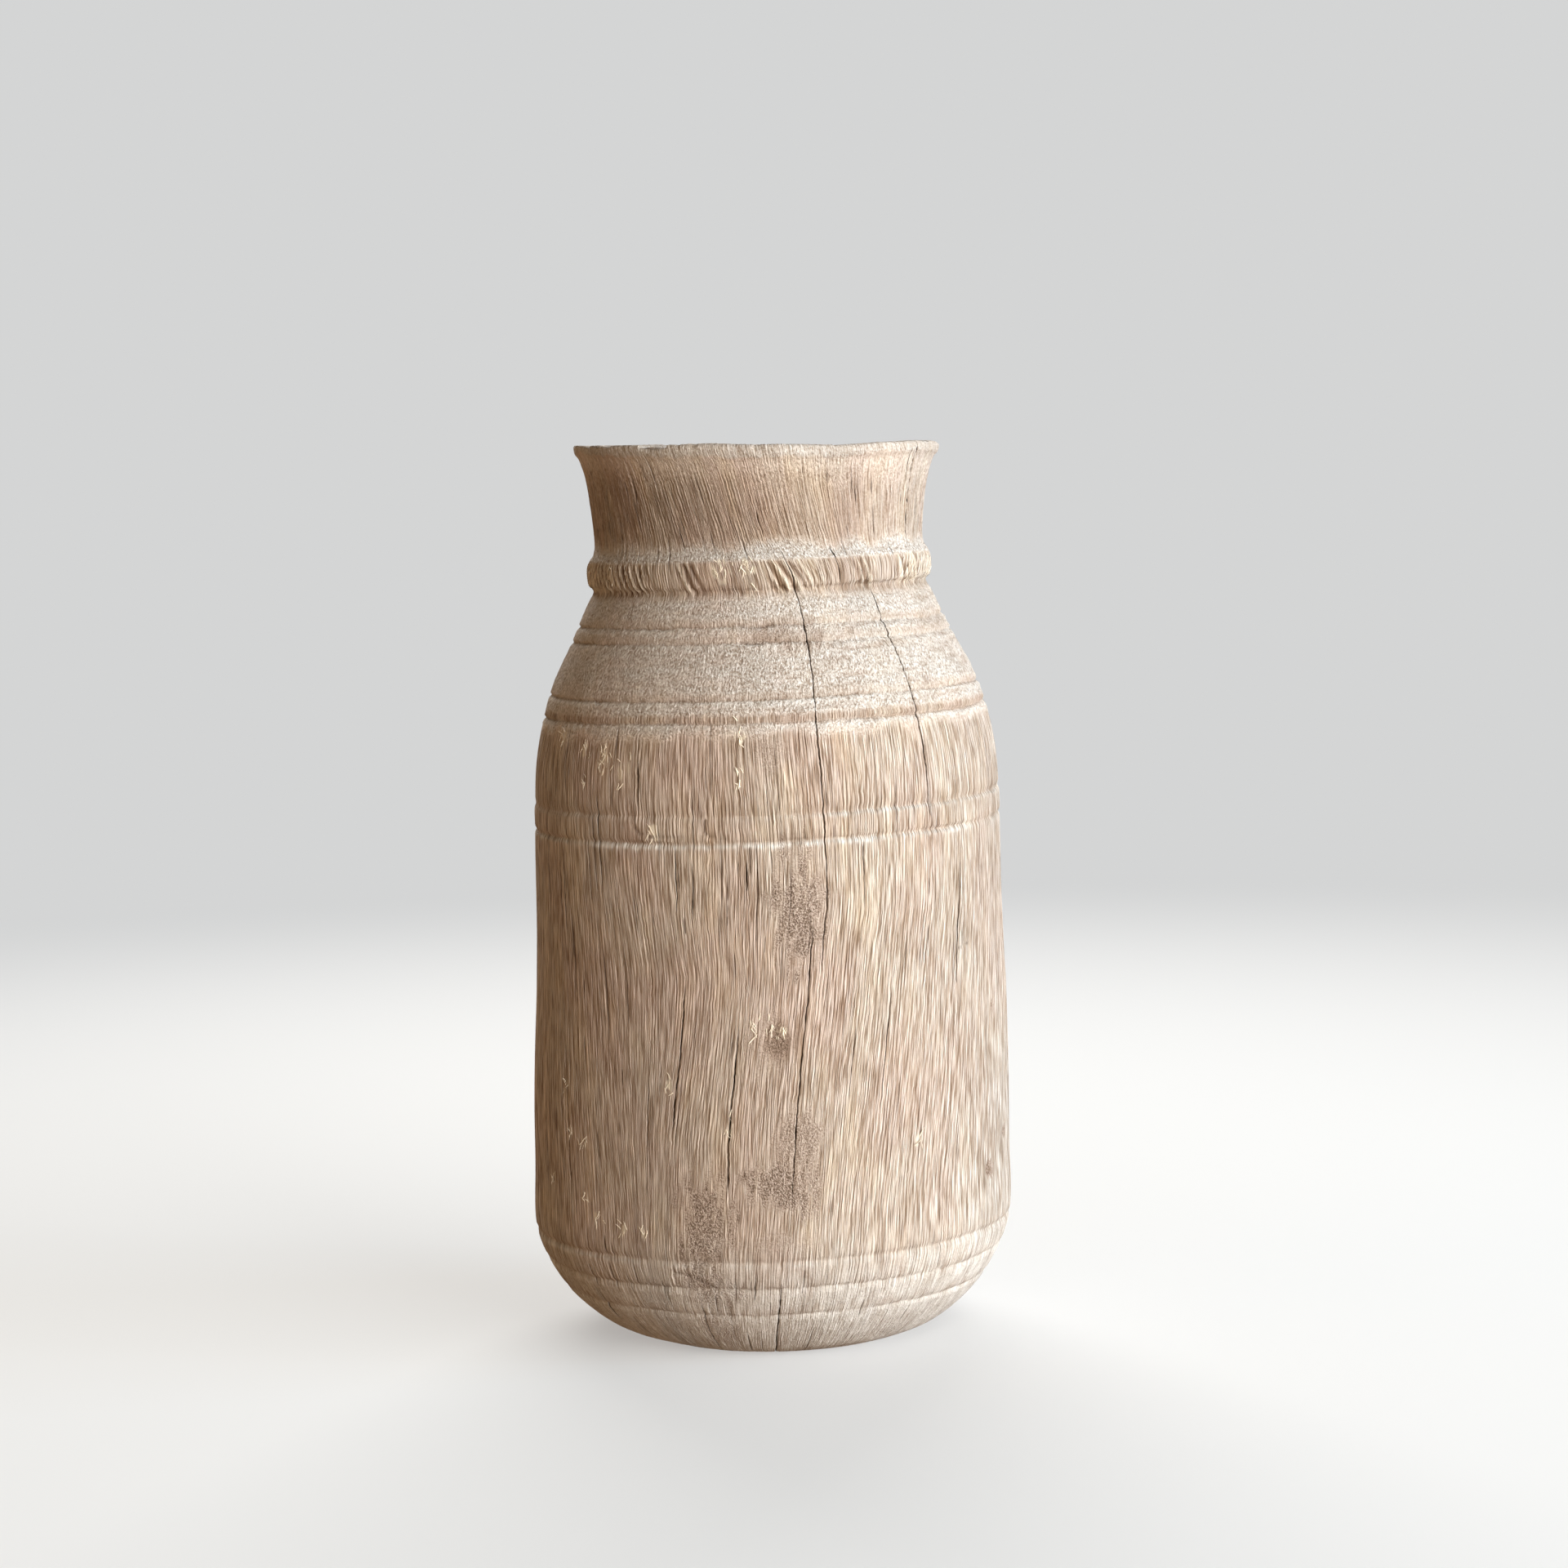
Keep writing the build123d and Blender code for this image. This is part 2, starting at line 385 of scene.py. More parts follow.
class Surface:
    """Outside of the pot as a grid of rows and grain columns.

    relief is in mm. The masks say from 0 to 1 what the wood shows, except "outside", which is the
    distance in mm outside the nearest drying check, with 1 far from any.
    """

    def __init__(self, turns, outline, inner):
        self.turns = turns
        self.r, self.z = outline[:, :1], outline[:, 1:]
        self.inner = inner[:, None]
        self.length = lengths_along(outline)[:, None]
        self.turn = (turns[None, :] % 360) / 360
        self.shape = (len(outline), len(turns))
        wander = self.layered(0, (0.7, 11, 24, 1.6), (0.05, 12, 6, 2.5))
        self.shift = grain_shift(turns, outline[:, 1]) + np.degrees(wander / BELLY_R)
        self.angle = wrapped(turns[None, :] + self.shift)
        self.relief = np.zeros(self.shape)
        self.masks = {name: np.zeros(self.shape) for name in MASKS}
        self.masks["outside"] += 1
        self.granular = np.zeros(self.shape)

    def speckle(self, seed, size, stretch=1):
        """round_noise() over the whole grid."""
        return round_noise(seed, self.turn, self.length, size, stretch)

    def layered(self, start, *layers):
        """start plus speckles, each given as (amount, seed, size, stretch)."""
        return sum((amount * self.speckle(*rest) for amount, *rest in layers), start)

    def lengthwise(self, seed, size):
        """Noise that varies only with height."""
        return noise(seed, OWN_COLUMN, self.length / size, 3)

    def ridges(self, seed, width, run):
        """fibres() over the whole grid."""
        return fibres(seed, self.turn, self.length, width, run)

    def across(self, angle):
        """Distance in mm round the pot from an angle, over the whole grid."""
        return np.radians(wrapped(self.angle - angle)) * self.r

    def mark(self, name, value, where=...):
        """Raise a mask to a value where it is lower."""
        self.masks[name][where] = np.maximum(self.masks[name][where], value)

    def cut_check(self, where, outside):
        """Add a drying check, given as the distance in mm outside it."""
        self.masks["outside"][where] = np.minimum(self.masks["outside"][where], outside)

    def grain_zones(self):
        """Where the wood is fuzzy and bleached, not fibrous: shoulder, bead top, rim and foot.
        Painted light makes the +X side and the foot paler, and painted shade darkens the neck.
        """
        angle, z = self.angle, self.z
        ragged = self.layered(z, (3, 21, 9, 0.6), (1.6, 22, 2.6, 2))
        front_left = ease(6, -18, angle) * ease(-140, -90, angle)
        start = SHOULDER_START - 1.5 * front_left
        ragged_edge = 0.6 * (ragged - z) + z
        shoulder = ease(-3, 2, ragged_edge - start) * (1 - ease(248, 252.5, z))
        fuzz = shoulder * ease(-4, 7, ragged - start)
        bead_top = ease(261, 262.5, z) * (1 - ease(264.5, 270, ragged_edge))
        neck_top = ease(283, 291, ragged)
        foot = 1 - ease(16, 48, ragged)
        self.neck = ease(264, 271, z) * (1 - ease(288, 294.5, z)) * (1 - self.inner)
        crumbly = shoulder + bead_top + 0.30 * self.neck + 0.55 * neck_top + 0.45 * foot
        self.granular = np.clip(crumbly, 0, 1)
        lip = ease(LIP_FACE_Z - 0.6, LIP_FACE_Z + 0.4, ragged * 0.25 + z * 0.75)
        self.ripples = noise(26, self.turn * 42, self.length / 1.5, 42)
        self.ripples = 0.6 * self.ripples + 0.4 * noise(27, self.turn * 95, self.length / 0.9, 95)
        right = ease(4, 30, angle) * ease(175, 150, angle)
        marks = shoulder * (0.8 + 1.1 * right) + 0.4 * neck_top + 0.5 * foot + 0.6 * bead_top
        self.relief += 0.17 * marks * self.ripples
        # darker in the troughs of the turning ripples on the shoulder's right side
        self.mark("dirt_and_shade", 0.42 * shoulder * right * ease(0.05, 0.55, -self.ripples))
        patchy = 0.82 + 0.22 * self.speckle(23, 16, 0.25) + 0.28 * self.ripples
        # painted light: the +X side, which faces the key light, is painted paler, more so low down
        painted_lit_side = ease(12, 75, angle) * ease(170, 120, angle)
        painted_lit_side = painted_lit_side * (0.58 + 0.30 * ease(120, 50, z))
        painted_lit_side = painted_lit_side + 0.26 * painted_lit_side * self.speckle(24, 20, 2.5)
        # the pale mask: bleached shoulder, bead top and rim lip, the foot partly painted bounce
        # light, and painted light on the +X side
        bleached = np.maximum.reduce([fuzz * patchy, bead_top, 0.85 * lip, foot, painted_lit_side])
        self.mark("pale", bleached.clip(0, 1))
        # painted bounce light: the front and right of the foot are painted chalky pale, on top of
        # its pale wood
        frost_and_bounce = self.layered(0.6, (0.5, 28, 1.6, 2.5)) * ease(-75, 5, angle)
        frost_and_bounce = frost_and_bounce * (1 - ease(20, 50, ragged)) * ease(180, 120, angle)
        self.mark("chalk_and_bounce", (0.42 * frost_and_bounce).clip(0, 0.5))
        # painted shade on the neck under the rim's flare, weaker towards the +X side
        self.mark("dirt_and_shade", 0.46 * self.neck * (1 - 0.5 * ease(15, 50, angle)))

    def patches(self):
        """Granular end grain, ragged at its edges."""
        ragged = self.layered(0, (0.30, 31, 5, 1.3), (0.34, 32, 1.5, 3))
        for angle, height, half_width, half_height, strength, sunk in PATCHES:
            away = np.hypot(self.across(angle) / half_width, (self.z - height) / half_height)
            inside = strength * (1 - ease(0.5, 1.25, away + ragged))
            self.mark("knot", inside)
            if half_width < SMALL_KNOT:
                self.mark("dirt_and_shade", 0.6 * inside)
            self.granular = np.maximum(self.granular, inside)
            self.relief -= sunk * inside

    def turned_grooves(self):
        """Grooves with a cut face above and a pale frayed lip below their deepest line. Painted
        shade darkens the cut face and the deepest line, and the lip is partly a painted highlight.
        """
        angle, z = self.angle, self.z
        for number, (height, depth, above, below) in enumerate(GROOVES):
            waver = self.layered(0, (0.35, 40 + number, 30, 9), (0.22, 60 + number, 1.7, 9))
            strength = self.layered(0.85, (0.35, 80 + number, 22, 9), (0.25, 90 + number, 5, 9))
            off = z - height - waver
            upper = np.clip(1 - off / above, 0, 1) * (off >= 0)
            lower = np.clip(1 + off / below, 0, 1) ** 1.3 * (off < 0)
            self.relief -= depth * strength * (upper + lower)
            fringe = 0.5 * self.speckle(100 + number, 1.4, 9)
            cut_face = ease(-0.3, 0.3, off)
            cut_face = cut_face * (1 - ease(above + 0.8, above + 2.4, off + fringe))
            # the cut face above the deepest line is less bleached and less crumbly, and darker with
            # painted shade, most at the low shoulder groove
            brown_and_shade = 0.8 if number == LOW_SHOULDER_GROOVE else 0.35
            self.masks["pale"] *= 1 - brown_and_shade * cut_face
            self.granular *= 1 - brown_and_shade * cut_face
            self.mark("dirt_and_shade", 0.4 * brown_and_shade * cut_face * strength.clip(0, 1.2))
            if height > 200:      # on the shoulder
                faded = 0.75 * ease(5, 25, angle) * (height > 230)
                strength = strength * (1 - faded)
            clear = strength.clip(0, 1.2)
            # painted shade: a dark line along the deepest part of the shoulder grooves
            if height > 200:
                self.mark("dirt_and_shade", 0.75 * bell(off + 0.15, 0.42) * clear)
            worn = 0.2 + 0.8 * ease(8, 28, angle) if number == TORN_RING_TOP else 1
            # the lip is painted pale: bleached fibre, and a painted highlight where the groove's
            # lower wall faces up
            lip = bell(off + 0.5 * below, 0.38 * below) * clear * worn
            self.relief += 0.14 * lip
            self.mark("pale", lip * (0.95 if height > 100 else 0.8))
            frayed = self.layered(0.40, (0.8, 110 + number, 1.2, 2), (0.5, 190 + number, 8, 2))
            amount = 0.65 if number == TORN_RING_LOW else 0.45 if height > 100 else 0.32
            amount = amount * (1 - 0.45 * ease(10, 40, angle))
            fuzzy = bell(off + 0.7 * below + 0.6 * fringe, 0.5 * below) * clear * worn
            self.mark("chalk_and_bounce", (amount * fuzzy * frayed).clip(0, 0.6))

    def torn_ring(self):
        """The low ring between two belly grooves, with fibres torn out along its lower edge."""
        low, high = GROOVES[TORN_RING_LOW][0], GROOVES[TORN_RING_TOP][0]
        middle, half = (low + high) / 2, (high - low) / 2
        self.relief += 0.25 * np.exp(-((self.z - middle) / half) ** 4)
        tears = self.ridges(101, 3.4, 7)
        where = bell(self.z - low - 2.2, 1.6)
        patchy = ease(-0.3, 0.4, self.speckle(102, 18, 5))
        self.relief -= 0.55 * tears * where * patchy

    def torn_bead(self):
        """Slanting torn fibres across the bead's face, with some pale shreds. Painted shade lies in
        the gaps between them and under the bead.
        """
        z = self.z
        face = ease(250.5, 253, z) * (1 - ease(260.5, 263, z))
        slanting = (self.turn + 0.0008 * (z - 257)) % 1
        tears = fibres(111, slanting, self.length, 4.2, 12)
        patchy = ease(-0.5, 0.1, self.speckle(112, 14, 6))
        self.relief += face * patchy * (1.35 * tears - 0.85)
        self.mark("torn", 0.75 * face * patchy * ease(0.45, 0.85, tears))
        # painted shade in the sunken gaps between the torn fibres
        self.mark("dirt_and_shade", 0.9 * face * patchy * ease(0.20, 0.02, tears))
        under = bell(z - 252.2, 1.5)
        ragged = 0.5 + 0.5 * self.speckle(113, 2.4, 1)
        self.relief -= 0.35 * under * ragged
        # painted shadow under the bead's lower edge
        self.mark("dirt_and_shade", 0.55 * bell(z - 251.8, 0.9) * ragged)

    def fibre_relief(self):
        """Weathered grain: slender ridges on the walls, crumbs on end grain and bleached zones."""
        coarse = self.ridges(121, 1.9, 42)
        fine = self.ridges(122, 1.05, 24)
        bold = 0.75 + 0.45 * self.speckle(123, 24, 2)
        mixed = np.clip(0.25 * coarse + 0.78 * fine, 0, 1)
        walls = 1 - 0.86 * self.granular
        crumbs = self.layered(0, (0.8, 124, 0.95, 1.2), (0.5, 125, 1.7, 1.2))
        self.relief += walls * bold * 0.32 * (mixed - 0.5)
        self.relief += self.granular * 0.12 * crumbs
        broken = self.ridges(126, 1.5, 4.5)
        self.relief += self.neck * 0.42 * (broken - 0.5)
        mixed = mixed + 0.5 * self.neck * (broken - mixed)
        self.masks["ridge"] = np.clip(mixed * walls + (0.5 + 0.16 * crumbs) * (1 - walls), 0, 1)

    def tuft_roots(self):
        """Pale broken fibre on the surface under each tuft."""
        broken = self.speckle(116, 1.1, 3)
        for angle, height, spread, _ in TUFTS:
            away = self.across(angle) ** 2 + (0.7 * (self.z - height)) ** 2
            near = np.exp(-away / spread ** 2)
            self.mark("torn", 0.8 * ease(0.42, 0.85, near * (0.55 + 1.1 * broken)))

    def unevenness(self):
        """The dried pot is no longer quite round."""
        around = np.radians(self.angle)
        self.relief += 0.35 * np.cos(2 * around - 0.7) + 0.18 * np.cos(3 * around + 0.9)
        self.relief = self.layered(self.relief, (0.30, 131, 55, 1), (0.12, 132, 16, 1.6))

    def open_crack(self, number, line, low, high, half_width, depth):
        """Crack along a line of grain. Its ends taper, unless it runs over the rim or foot."""
        per_degree = math.radians(1) * self.r
        across = wrapped(self.turns[None, :] - line) * per_degree
        near = np.abs(across).min(axis=0) < 4
        open_end = 20
        ends = np.minimum(self.z - low, high - self.z)
        if high >= RIM_Z:
            ends = np.where(self.inner, open_end, self.z - low)
        if low <= 0:
            ends = np.minimum(high - self.z, open_end)
        run = min(14, 0.3 * (high - low))
        taper = ease(-0.5, run, ends + 0.2 * run * self.lengthwise(200 + number, 4))
        breathing = 0.74 + 0.32 * self.lengthwise(240 + number, 5)
        breathing = breathing + 0.42 * self.lengthwise(280 + number, 1.3)
        width = (half_width * taper ** 0.7 * breathing).clip(0.02)
        deep = depth * taper * np.clip(breathing, 0.3, 1.2)
        zigzag = 0.16 * self.lengthwise(320 + number, 3.2)
        zigzag = zigzag + 0.14 * self.lengthwise(360 + number, 1.2)
        beside = across[:, near]
        gape = np.clip(1 - np.abs(beside) / width, 0, 1) * (taper > 0)
        self.relief[:, near] -= deep * gape ** 0.8
        edge = bell(beside, 0.9) * taper
        self.relief[:, near] -= 0.12 * edge
        dark = np.clip(1.2 - np.abs(beside) / width, 0, 1) * ease(0, 0.05, taper)
        self.mark("crack", dark, np.s_[:, near])
        self.shift[:, near] += zigzag / per_degree * bell(beside, 1.6)
        self.cut_check(np.s_[:, near], np.abs(beside) - 0.75 * width + 0.15 * (taper < 0.03))

    def hairlines(self):
        """Fine checks along the grain, a third of them at the front left."""
        rng = np.random.default_rng(141)
        columns = np.arange(8, len(self.turns) - 8)
        columns = columns[np.diff(self.turns)[columns] > 0.2]
        left = columns[(self.turns[columns] > -82) & (self.turns[columns] < 4)]
        for number in range(HAIRLINES):
            column = rng.choice(left if number % 3 == 0 else columns)
            middle = rng.choice([rng.uniform(*zone) for zone in CHECK_ZONES])
            half = 3 + 16 * rng.random() ** 2 if 45 < middle < 206 else rng.uniform(2, 6)
            taper = np.clip(1 - ((self.z - middle) / half) ** 2, 0, 1) ** 0.5
            taper = taper * (0.8 + 0.4 * self.lengthwise(number, 2))
            strength = rng.uniform(0.35, 1)
            near = np.arange(column - 4, column + 5)
            across = np.radians(np.abs(self.turns[near] - self.turns[column])) * self.r
            self.relief[:, near] -= 0.25 * strength * taper * bell(across, 0.3)
            self.cut_check(np.s_[:, near], across - (0.26 * strength * taper - 0.09))

    def nicks(self):
        """Short dark cuts of the tool."""
        for points, half_width, depth in NICKS:
            heights = [height for _, height in points]
            z = self.z[:, 0]
            rows = (z > min(heights) - 4) & (z < max(heights) + 4)
            window = np.ix_(rows, np.ones(self.shape[1], bool))
            z = np.broadcast_to(self.z, self.shape)[window]
            away = lines_distance(points, self.angle[window], z)
            cut = np.clip(1 - away / (2.2 * half_width), 0, 1) ** 1.2
            self.relief[window] -= depth * cut
            self.mark("crack", 0.6 * np.clip(1 - away / half_width, 0, 1), window)

    def rim_wear(self):
        """Nibbled outer edge and end-grain checks on top of the rim."""
        top = ease(RIM_Z - 3.2, RIM_Z - 0.6, self.z)
        bites = ease(0.35, 0.9, self.speckle(151, 7, 2)) * 0.7
        bites = bites + ease(0.2, 0.8, self.speckle(152, 2.2, 3)) * 0.25
        self.relief -= top * bites
        edge = bell(self.z - LIP_FACE_Z, 0.9) * (1 - self.inner)
        self.relief -= 0.15 * edge * (0.6 + 0.9 * self.speckle(153, 2, 3))

    def build(self):
        self.grain_zones()
        self.patches()
        self.unevenness()
        self.turned_grooves()
        self.torn_ring()
        self.torn_bead()
        self.tuft_roots()
        self.fibre_relief()
        for number, crack in enumerate(CRACKS):
            self.open_crack(number, *crack)
        self.hairlines()
        self.nicks()
        self.rim_wear()
        self.masks["granular"] = self.granular


def place(angles, r, z):
    """Turned rings that lean and drift off the axis, as x, y, z in mm."""
    around = np.radians(angles)
    x, y = r * np.sin(around), -r * np.cos(around)
    rise = through(RIM_RISE, wrapped(angles))
    z = z + through(LEAN, z) * x + rise * ease(RIM_RISE_START, RIM_RISE_FULL, z)
    return np.stack([x + through(DRIFT, z), y, np.maximum(z, 0)], axis=-1)


def normals(outline):
    """Outward normals of an outline that runs up the outside."""
    along = np.gradient(outline, axis=0)
    along /= np.hypot(*along.T)[:, None]
    return np.column_stack([along[:, 1], -along[:, 0]])


def row_step(r, z):
    """Height of a mesh row: fine at the grooves, the bead and the rim."""
    if z < 1:
        return FLOOR_ROW
    near_groove = min(abs(z - groove[0] + 0.8) for groove in GROOVES)
    if near_groove < 2.2 or 249 < z < 268 or z > 292:
        return FINE_ROW
    return MIDDLE_ROW


def gouged_inside(turns, outline):
    """Radial depth of the long gouge cuts on the inner wall."""
    turn = (turns[None, :] % 360) / 360
    length = lengths_along(outline)[:, None]
    gouges = 34
    drift = 0.25 * noise(171, turn * 12, length / 40, 12)
    wave = np.abs(np.sin(math.pi * (turn * gouges + drift)))
    depth = 0.7 * wave + 0.8 * round_noise(172, turn, length, 30, 1.5)
    depth = depth + 0.35 * round_noise(173, turn, length, 7, 2)
    fade = ease(0, 14, length) * ease(0, 6, length[-1] - length)
    return depth * fade


def sliver(base, normal, direction, size, lift, rng):
    """Closed curved splinter that rises out of the surface and tapers to a point."""
    side = np.cross(normal, direction)
    stations = np.linspace(0, 1, 6)
    bend = rng.uniform(-0.25, 0.25)
    verts = []
    for u in stations[:-1]:
        centre = base + direction * size * (u - 0.12) + side * bend * size * u * u
        centre = centre + normal * (lift * u * u + 0.16 - 0.22 * (1 - u))
        half = 0.07 * size * (1 - u) ** 0.6 + 0.07
        for across, up in ((1, 0), (0, 0.55), (-1, 0), (0, -0.55)):
            verts.append(centre + half * (across * side + up * normal))
    tip = base + direction * size * 0.88 + side * bend * size + normal * (lift + 0.1)
    verts.append(tip)
    faces = [(3, 2, 1, 0)]
    rings = len(stations) - 1
    for ring in range(rings - 1):
        for k in range(4):
            a, b = 4 * ring + k, 4 * ring + (k + 1) % 4
            faces.append((a, b, b + 4, a + 4))
    last = 4 * (rings - 1)
    faces += [(last + k, last + (k + 1) % 4, 4 * rings) for k in range(4)]
    return np.array(verts), faces


def unit(vector):
    return vector / np.linalg.norm(vector)


def torn_slivers(points, surface):
    """Splinters of the torn tufts on the finished surface, and the row and column of each root."""
    rng = np.random.default_rng(161)
    verts, faces, roots = [], [], []
    total = 0
    outside = surface.inner[:, 0] == 0
    for angle, height, spread, number in TUFTS:
        for _ in range(number):
            a = angle + math.degrees(rng.normal(0, spread * 0.5) / BELLY_R)
            z = height + rng.normal(0, spread * 0.8)
            row = np.argmin(np.abs(surface.z[:, 0] - z) + 1e3 * ~outside)
            column = np.argmin(np.abs(wrapped(surface.angle[row] - a)))
            base = points[row, column]
            up = unit(points[row + 2, column] - points[row - 2, column])
            beside = points[row, (column + 3) % points.shape[1]]
            around = unit(beside - points[row, column - 3])
            normal = unit(np.cross(around, up))
            lean = rng.normal(0, 0.45)
            direction = math.cos(lean) * up * rng.choice([-1, 1]) + math.sin(lean) * around
            size, lift = rng.uniform(1.3, 3.5), rng.uniform(0.3, 1.3)
            own_verts, own_faces = sliver(base, normal, direction, size, lift, rng)
            verts.append(own_verts)
            faces += [tuple(total + k for k in face) for face in own_faces]
            roots += [(row, column)] * len(own_verts)
            total += len(own_verts)
    return np.vstack(verts), faces, np.array(roots)


def tube_faces(start, rows, count):
    """Quads between rings of count vertices each, in a stack that begins at vertex start."""
    k = np.arange(count)
    after = (k + 1) % count
    quads = np.column_stack([k, after, after + count, k + count]) + start
    return np.vstack([quads + row * count for row in range(rows - 1)])


def thinning_faces(fine, coarse, count, fine_first):
    """Seven-sided faces between a ring of count vertices and a ring with one vertex in COARSE."""
    faces = []
    for k in range(count // COARSE):
        long_side = [fine + (COARSE * k + step) % count for step in range(COARSE + 1)]
        short_side = [coarse + (k + 1) % (count // COARSE), coarse + k]
        face = long_side + short_side
        faces.append(face if fine_first else face[::-1])
    return faces


def add_object(name, data):
    made = bpy.data.objects.new(name, data)
    bpy.context.scene.collection.objects.link(made)
    return made


def make_piece(name, verts, faces, attributes, material):
    """Mesh object from mm vertices, faces of any size and vertex attributes."""
    mesh = bpy.data.meshes.new(name)
    sizes = np.array([len(face) for face in faces])
    corners = np.concatenate([np.asarray(face, dtype=np.int32) for face in faces])
    mesh.vertices.add(len(verts))
    mesh.vertices.foreach_set("co", (verts * MM).astype(np.float32).ravel())
    mesh.loops.add(len(corners))
    mesh.loops.foreach_set("vertex_index", corners)
    mesh.polygons.add(len(sizes))
    starts = np.concatenate([[0], np.cumsum(sizes)[:-1]])
    mesh.polygons.foreach_set("loop_start", starts.astype(np.int32))
    mesh.update(calc_edges=True)
    for key, values in attributes.items():
        kind = "FLOAT_VECTOR" if values.ndim == 2 else "FLOAT"
        field = "vector" if values.ndim == 2 else "value"
        layer = mesh.attributes.new(key, kind, "POINT")
        layer.data.foreach_set(field, values.astype(np.float32).ravel())
    mesh.shade_smooth()
    mesh.materials.append(material)
    return add_object(name, mesh)


def fibre_coordinates(turns, length):
    """Place of each vertex along and across the grain, in mm, without a seam round the pot."""
    around = np.radians(turns)[None, :] + 0 * length
    x, y = BELLY_R * np.sin(around), -BELLY_R * np.cos(around)
    return np.stack([x, y, length + 0 * around], axis=-1)


def turned_body(material):
    turns = column_turns()
    foot_ring = resample(np.array(FOOT_RING, float), row_step)[:-1]
    outside = np.vstack([foot_ring, resample(spline(OUTSIDE), row_step)])
    rim_top = resample(spline(RIM_TOP), lambda r, z: RIM_TOP_ROW)[1:]
    fine = np.vstack([outside, rim_top])
    inner = np.concatenate([np.zeros(len(outside)), np.ones(len(rim_top))])
    surface = Surface(turns, fine, inner)
    surface.build()
    normal = normals(fine)
    points = place(
        turns[None, :] + surface.shift,
        surface.r + normal[:, :1] * surface.relief,
        surface.z + normal[:, 1:] * surface.relief,
    )
    inside = resample(spline(INSIDE), lambda r, z: COARSE_ROW)[1:]
    rebate = resample(np.array(REBATE, float), lambda r, z: COARSE_ROW)[1:]
    coarse_turns = turns[::COARSE]
    wall = gouged_inside(coarse_turns, inside)
    last_shift = surface.shift[-1, ::COARSE]
    fade = np.exp(-np.arange(len(inside)) / 4)[:, None]
    inside_points = place(coarse_turns + last_shift * fade, inside[:, :1] + wall, inside[:, 1:])
    first_shift = surface.shift[0, ::COARSE]
    fade = np.exp(-np.arange(len(rebate))[::-1] / 3)[:, None]
    rebate_r = rebate[:, :1] + 0 * coarse_turns
    rebate_points = place(coarse_turns + first_shift * fade, rebate_r, rebate[:, 1:])
    coarse = np.concatenate([inside_points, rebate_points])

    count, few = len(turns), len(coarse_turns)
    start = len(fine) * count
    faces = list(tube_faces(0, len(fine), count)) + list(tube_faces(start, len(coarse), few))
    faces += thinning_faces((len(fine) - 1) * count, start, count, True)
    faces += thinning_faces(0, start + (len(coarse) - 1) * few, count, False)

    slivers, sliver_faces, roots = torn_slivers(points, surface)
    offset = start + len(coarse) * few
    faces += [tuple(offset + k for k in face) for face in sliver_faces]
    verts = np.vstack([points.reshape(-1, 3), coarse.reshape(-1, 3), slivers])

    coarse_length = surface.length[-1] + lengths_along(np.vstack([fine[-1:], inside, rebate]))
    coarse_length = coarse_length[1:, None]
    grain = fibre_coordinates(turns, surface.length)
    attributes = {"fibre": np.vstack([
        grain.reshape(-1, 3),
        fibre_coordinates(coarse_turns, coarse_length).reshape(-1, 3),
        grain[roots[:, 0], roots[:, 1]],
    ])}
    for key, inside_value, sliver_value in zip(MASKS, INSIDE_WOOD, SLIVER_WOOD):
        attributes[key] = np.concatenate([
            surface.masks[key].ravel(),
            np.full(len(coarse) * few, inside_value),
            np.full(len(slivers), sliver_value),
        ])
    return make_piece("turned_body_wood", verts, faces, attributes, material)


def base_disc(material):
    """Sawn disc in the foot: end-grain rings, saw lines and worn edges."""
    count = 240
    turns = np.linspace(-180, 180, count, endpoint=False)
    fit = DISC_R - 0.25       # mm of play in the rebate
    edge = 0.9
    lower = [(r, DISC_BOTTOM) for r in np.arange(1, fit - edge, 1)]
    wall = [(fit - edge, DISC_BOTTOM), (fit - 0.25, DISC_BOTTOM + 0.3), (fit, DISC_BOTTOM + edge)]
    wall += [(fit, z) for z in np.linspace(DISC_BOTTOM + 2, DISC_TOP - 1, 8)]
    upper = [(r, DISC_TOP) for r in np.arange(1, fit - 0.5, 1)][::-1]
    outline = np.array(lower + wall + [(fit, DISC_TOP - 0.5), (fit - 0.5, DISC_TOP)] + upper)
    r, z = outline[:, :1], outline[:, 1:]
    around = np.radians(turns)[None, :]
    x, y = r * np.sin(around), -r * np.cos(around)
    rings = 0.10 * np.sin(np.hypot(x - 18, y + 12) * 2.1)
    saw = 0.12 * np.sin(0.8 * x + 2.6 * y + 0.02 * x * x)
    face = 1 - ease(fit - 3, fit, r)
    bump = (rings + saw - 0.24) * face
    sign = np.where(z > (DISC_TOP + DISC_BOTTOM) / 2, 1, -1)
    points = np.stack([x, y, z + sign * bump + 0 * x], axis=-1)
    faces = list(tube_faces(0, len(outline), count))
    faces.append(tuple(range(count))[::-1])
    last = (len(outline) - 1) * count
    faces.append(tuple(last + k for k in range(count)))
    verts = points.reshape(-1, 3)
    attributes = {key: np.full(len(verts), value) for key, value in zip(MASKS, SAWN_WOOD)}
    attributes["fibre"] = verts
    return make_piece("base_disc_wood", verts, faces, attributes, material)


# ---- material

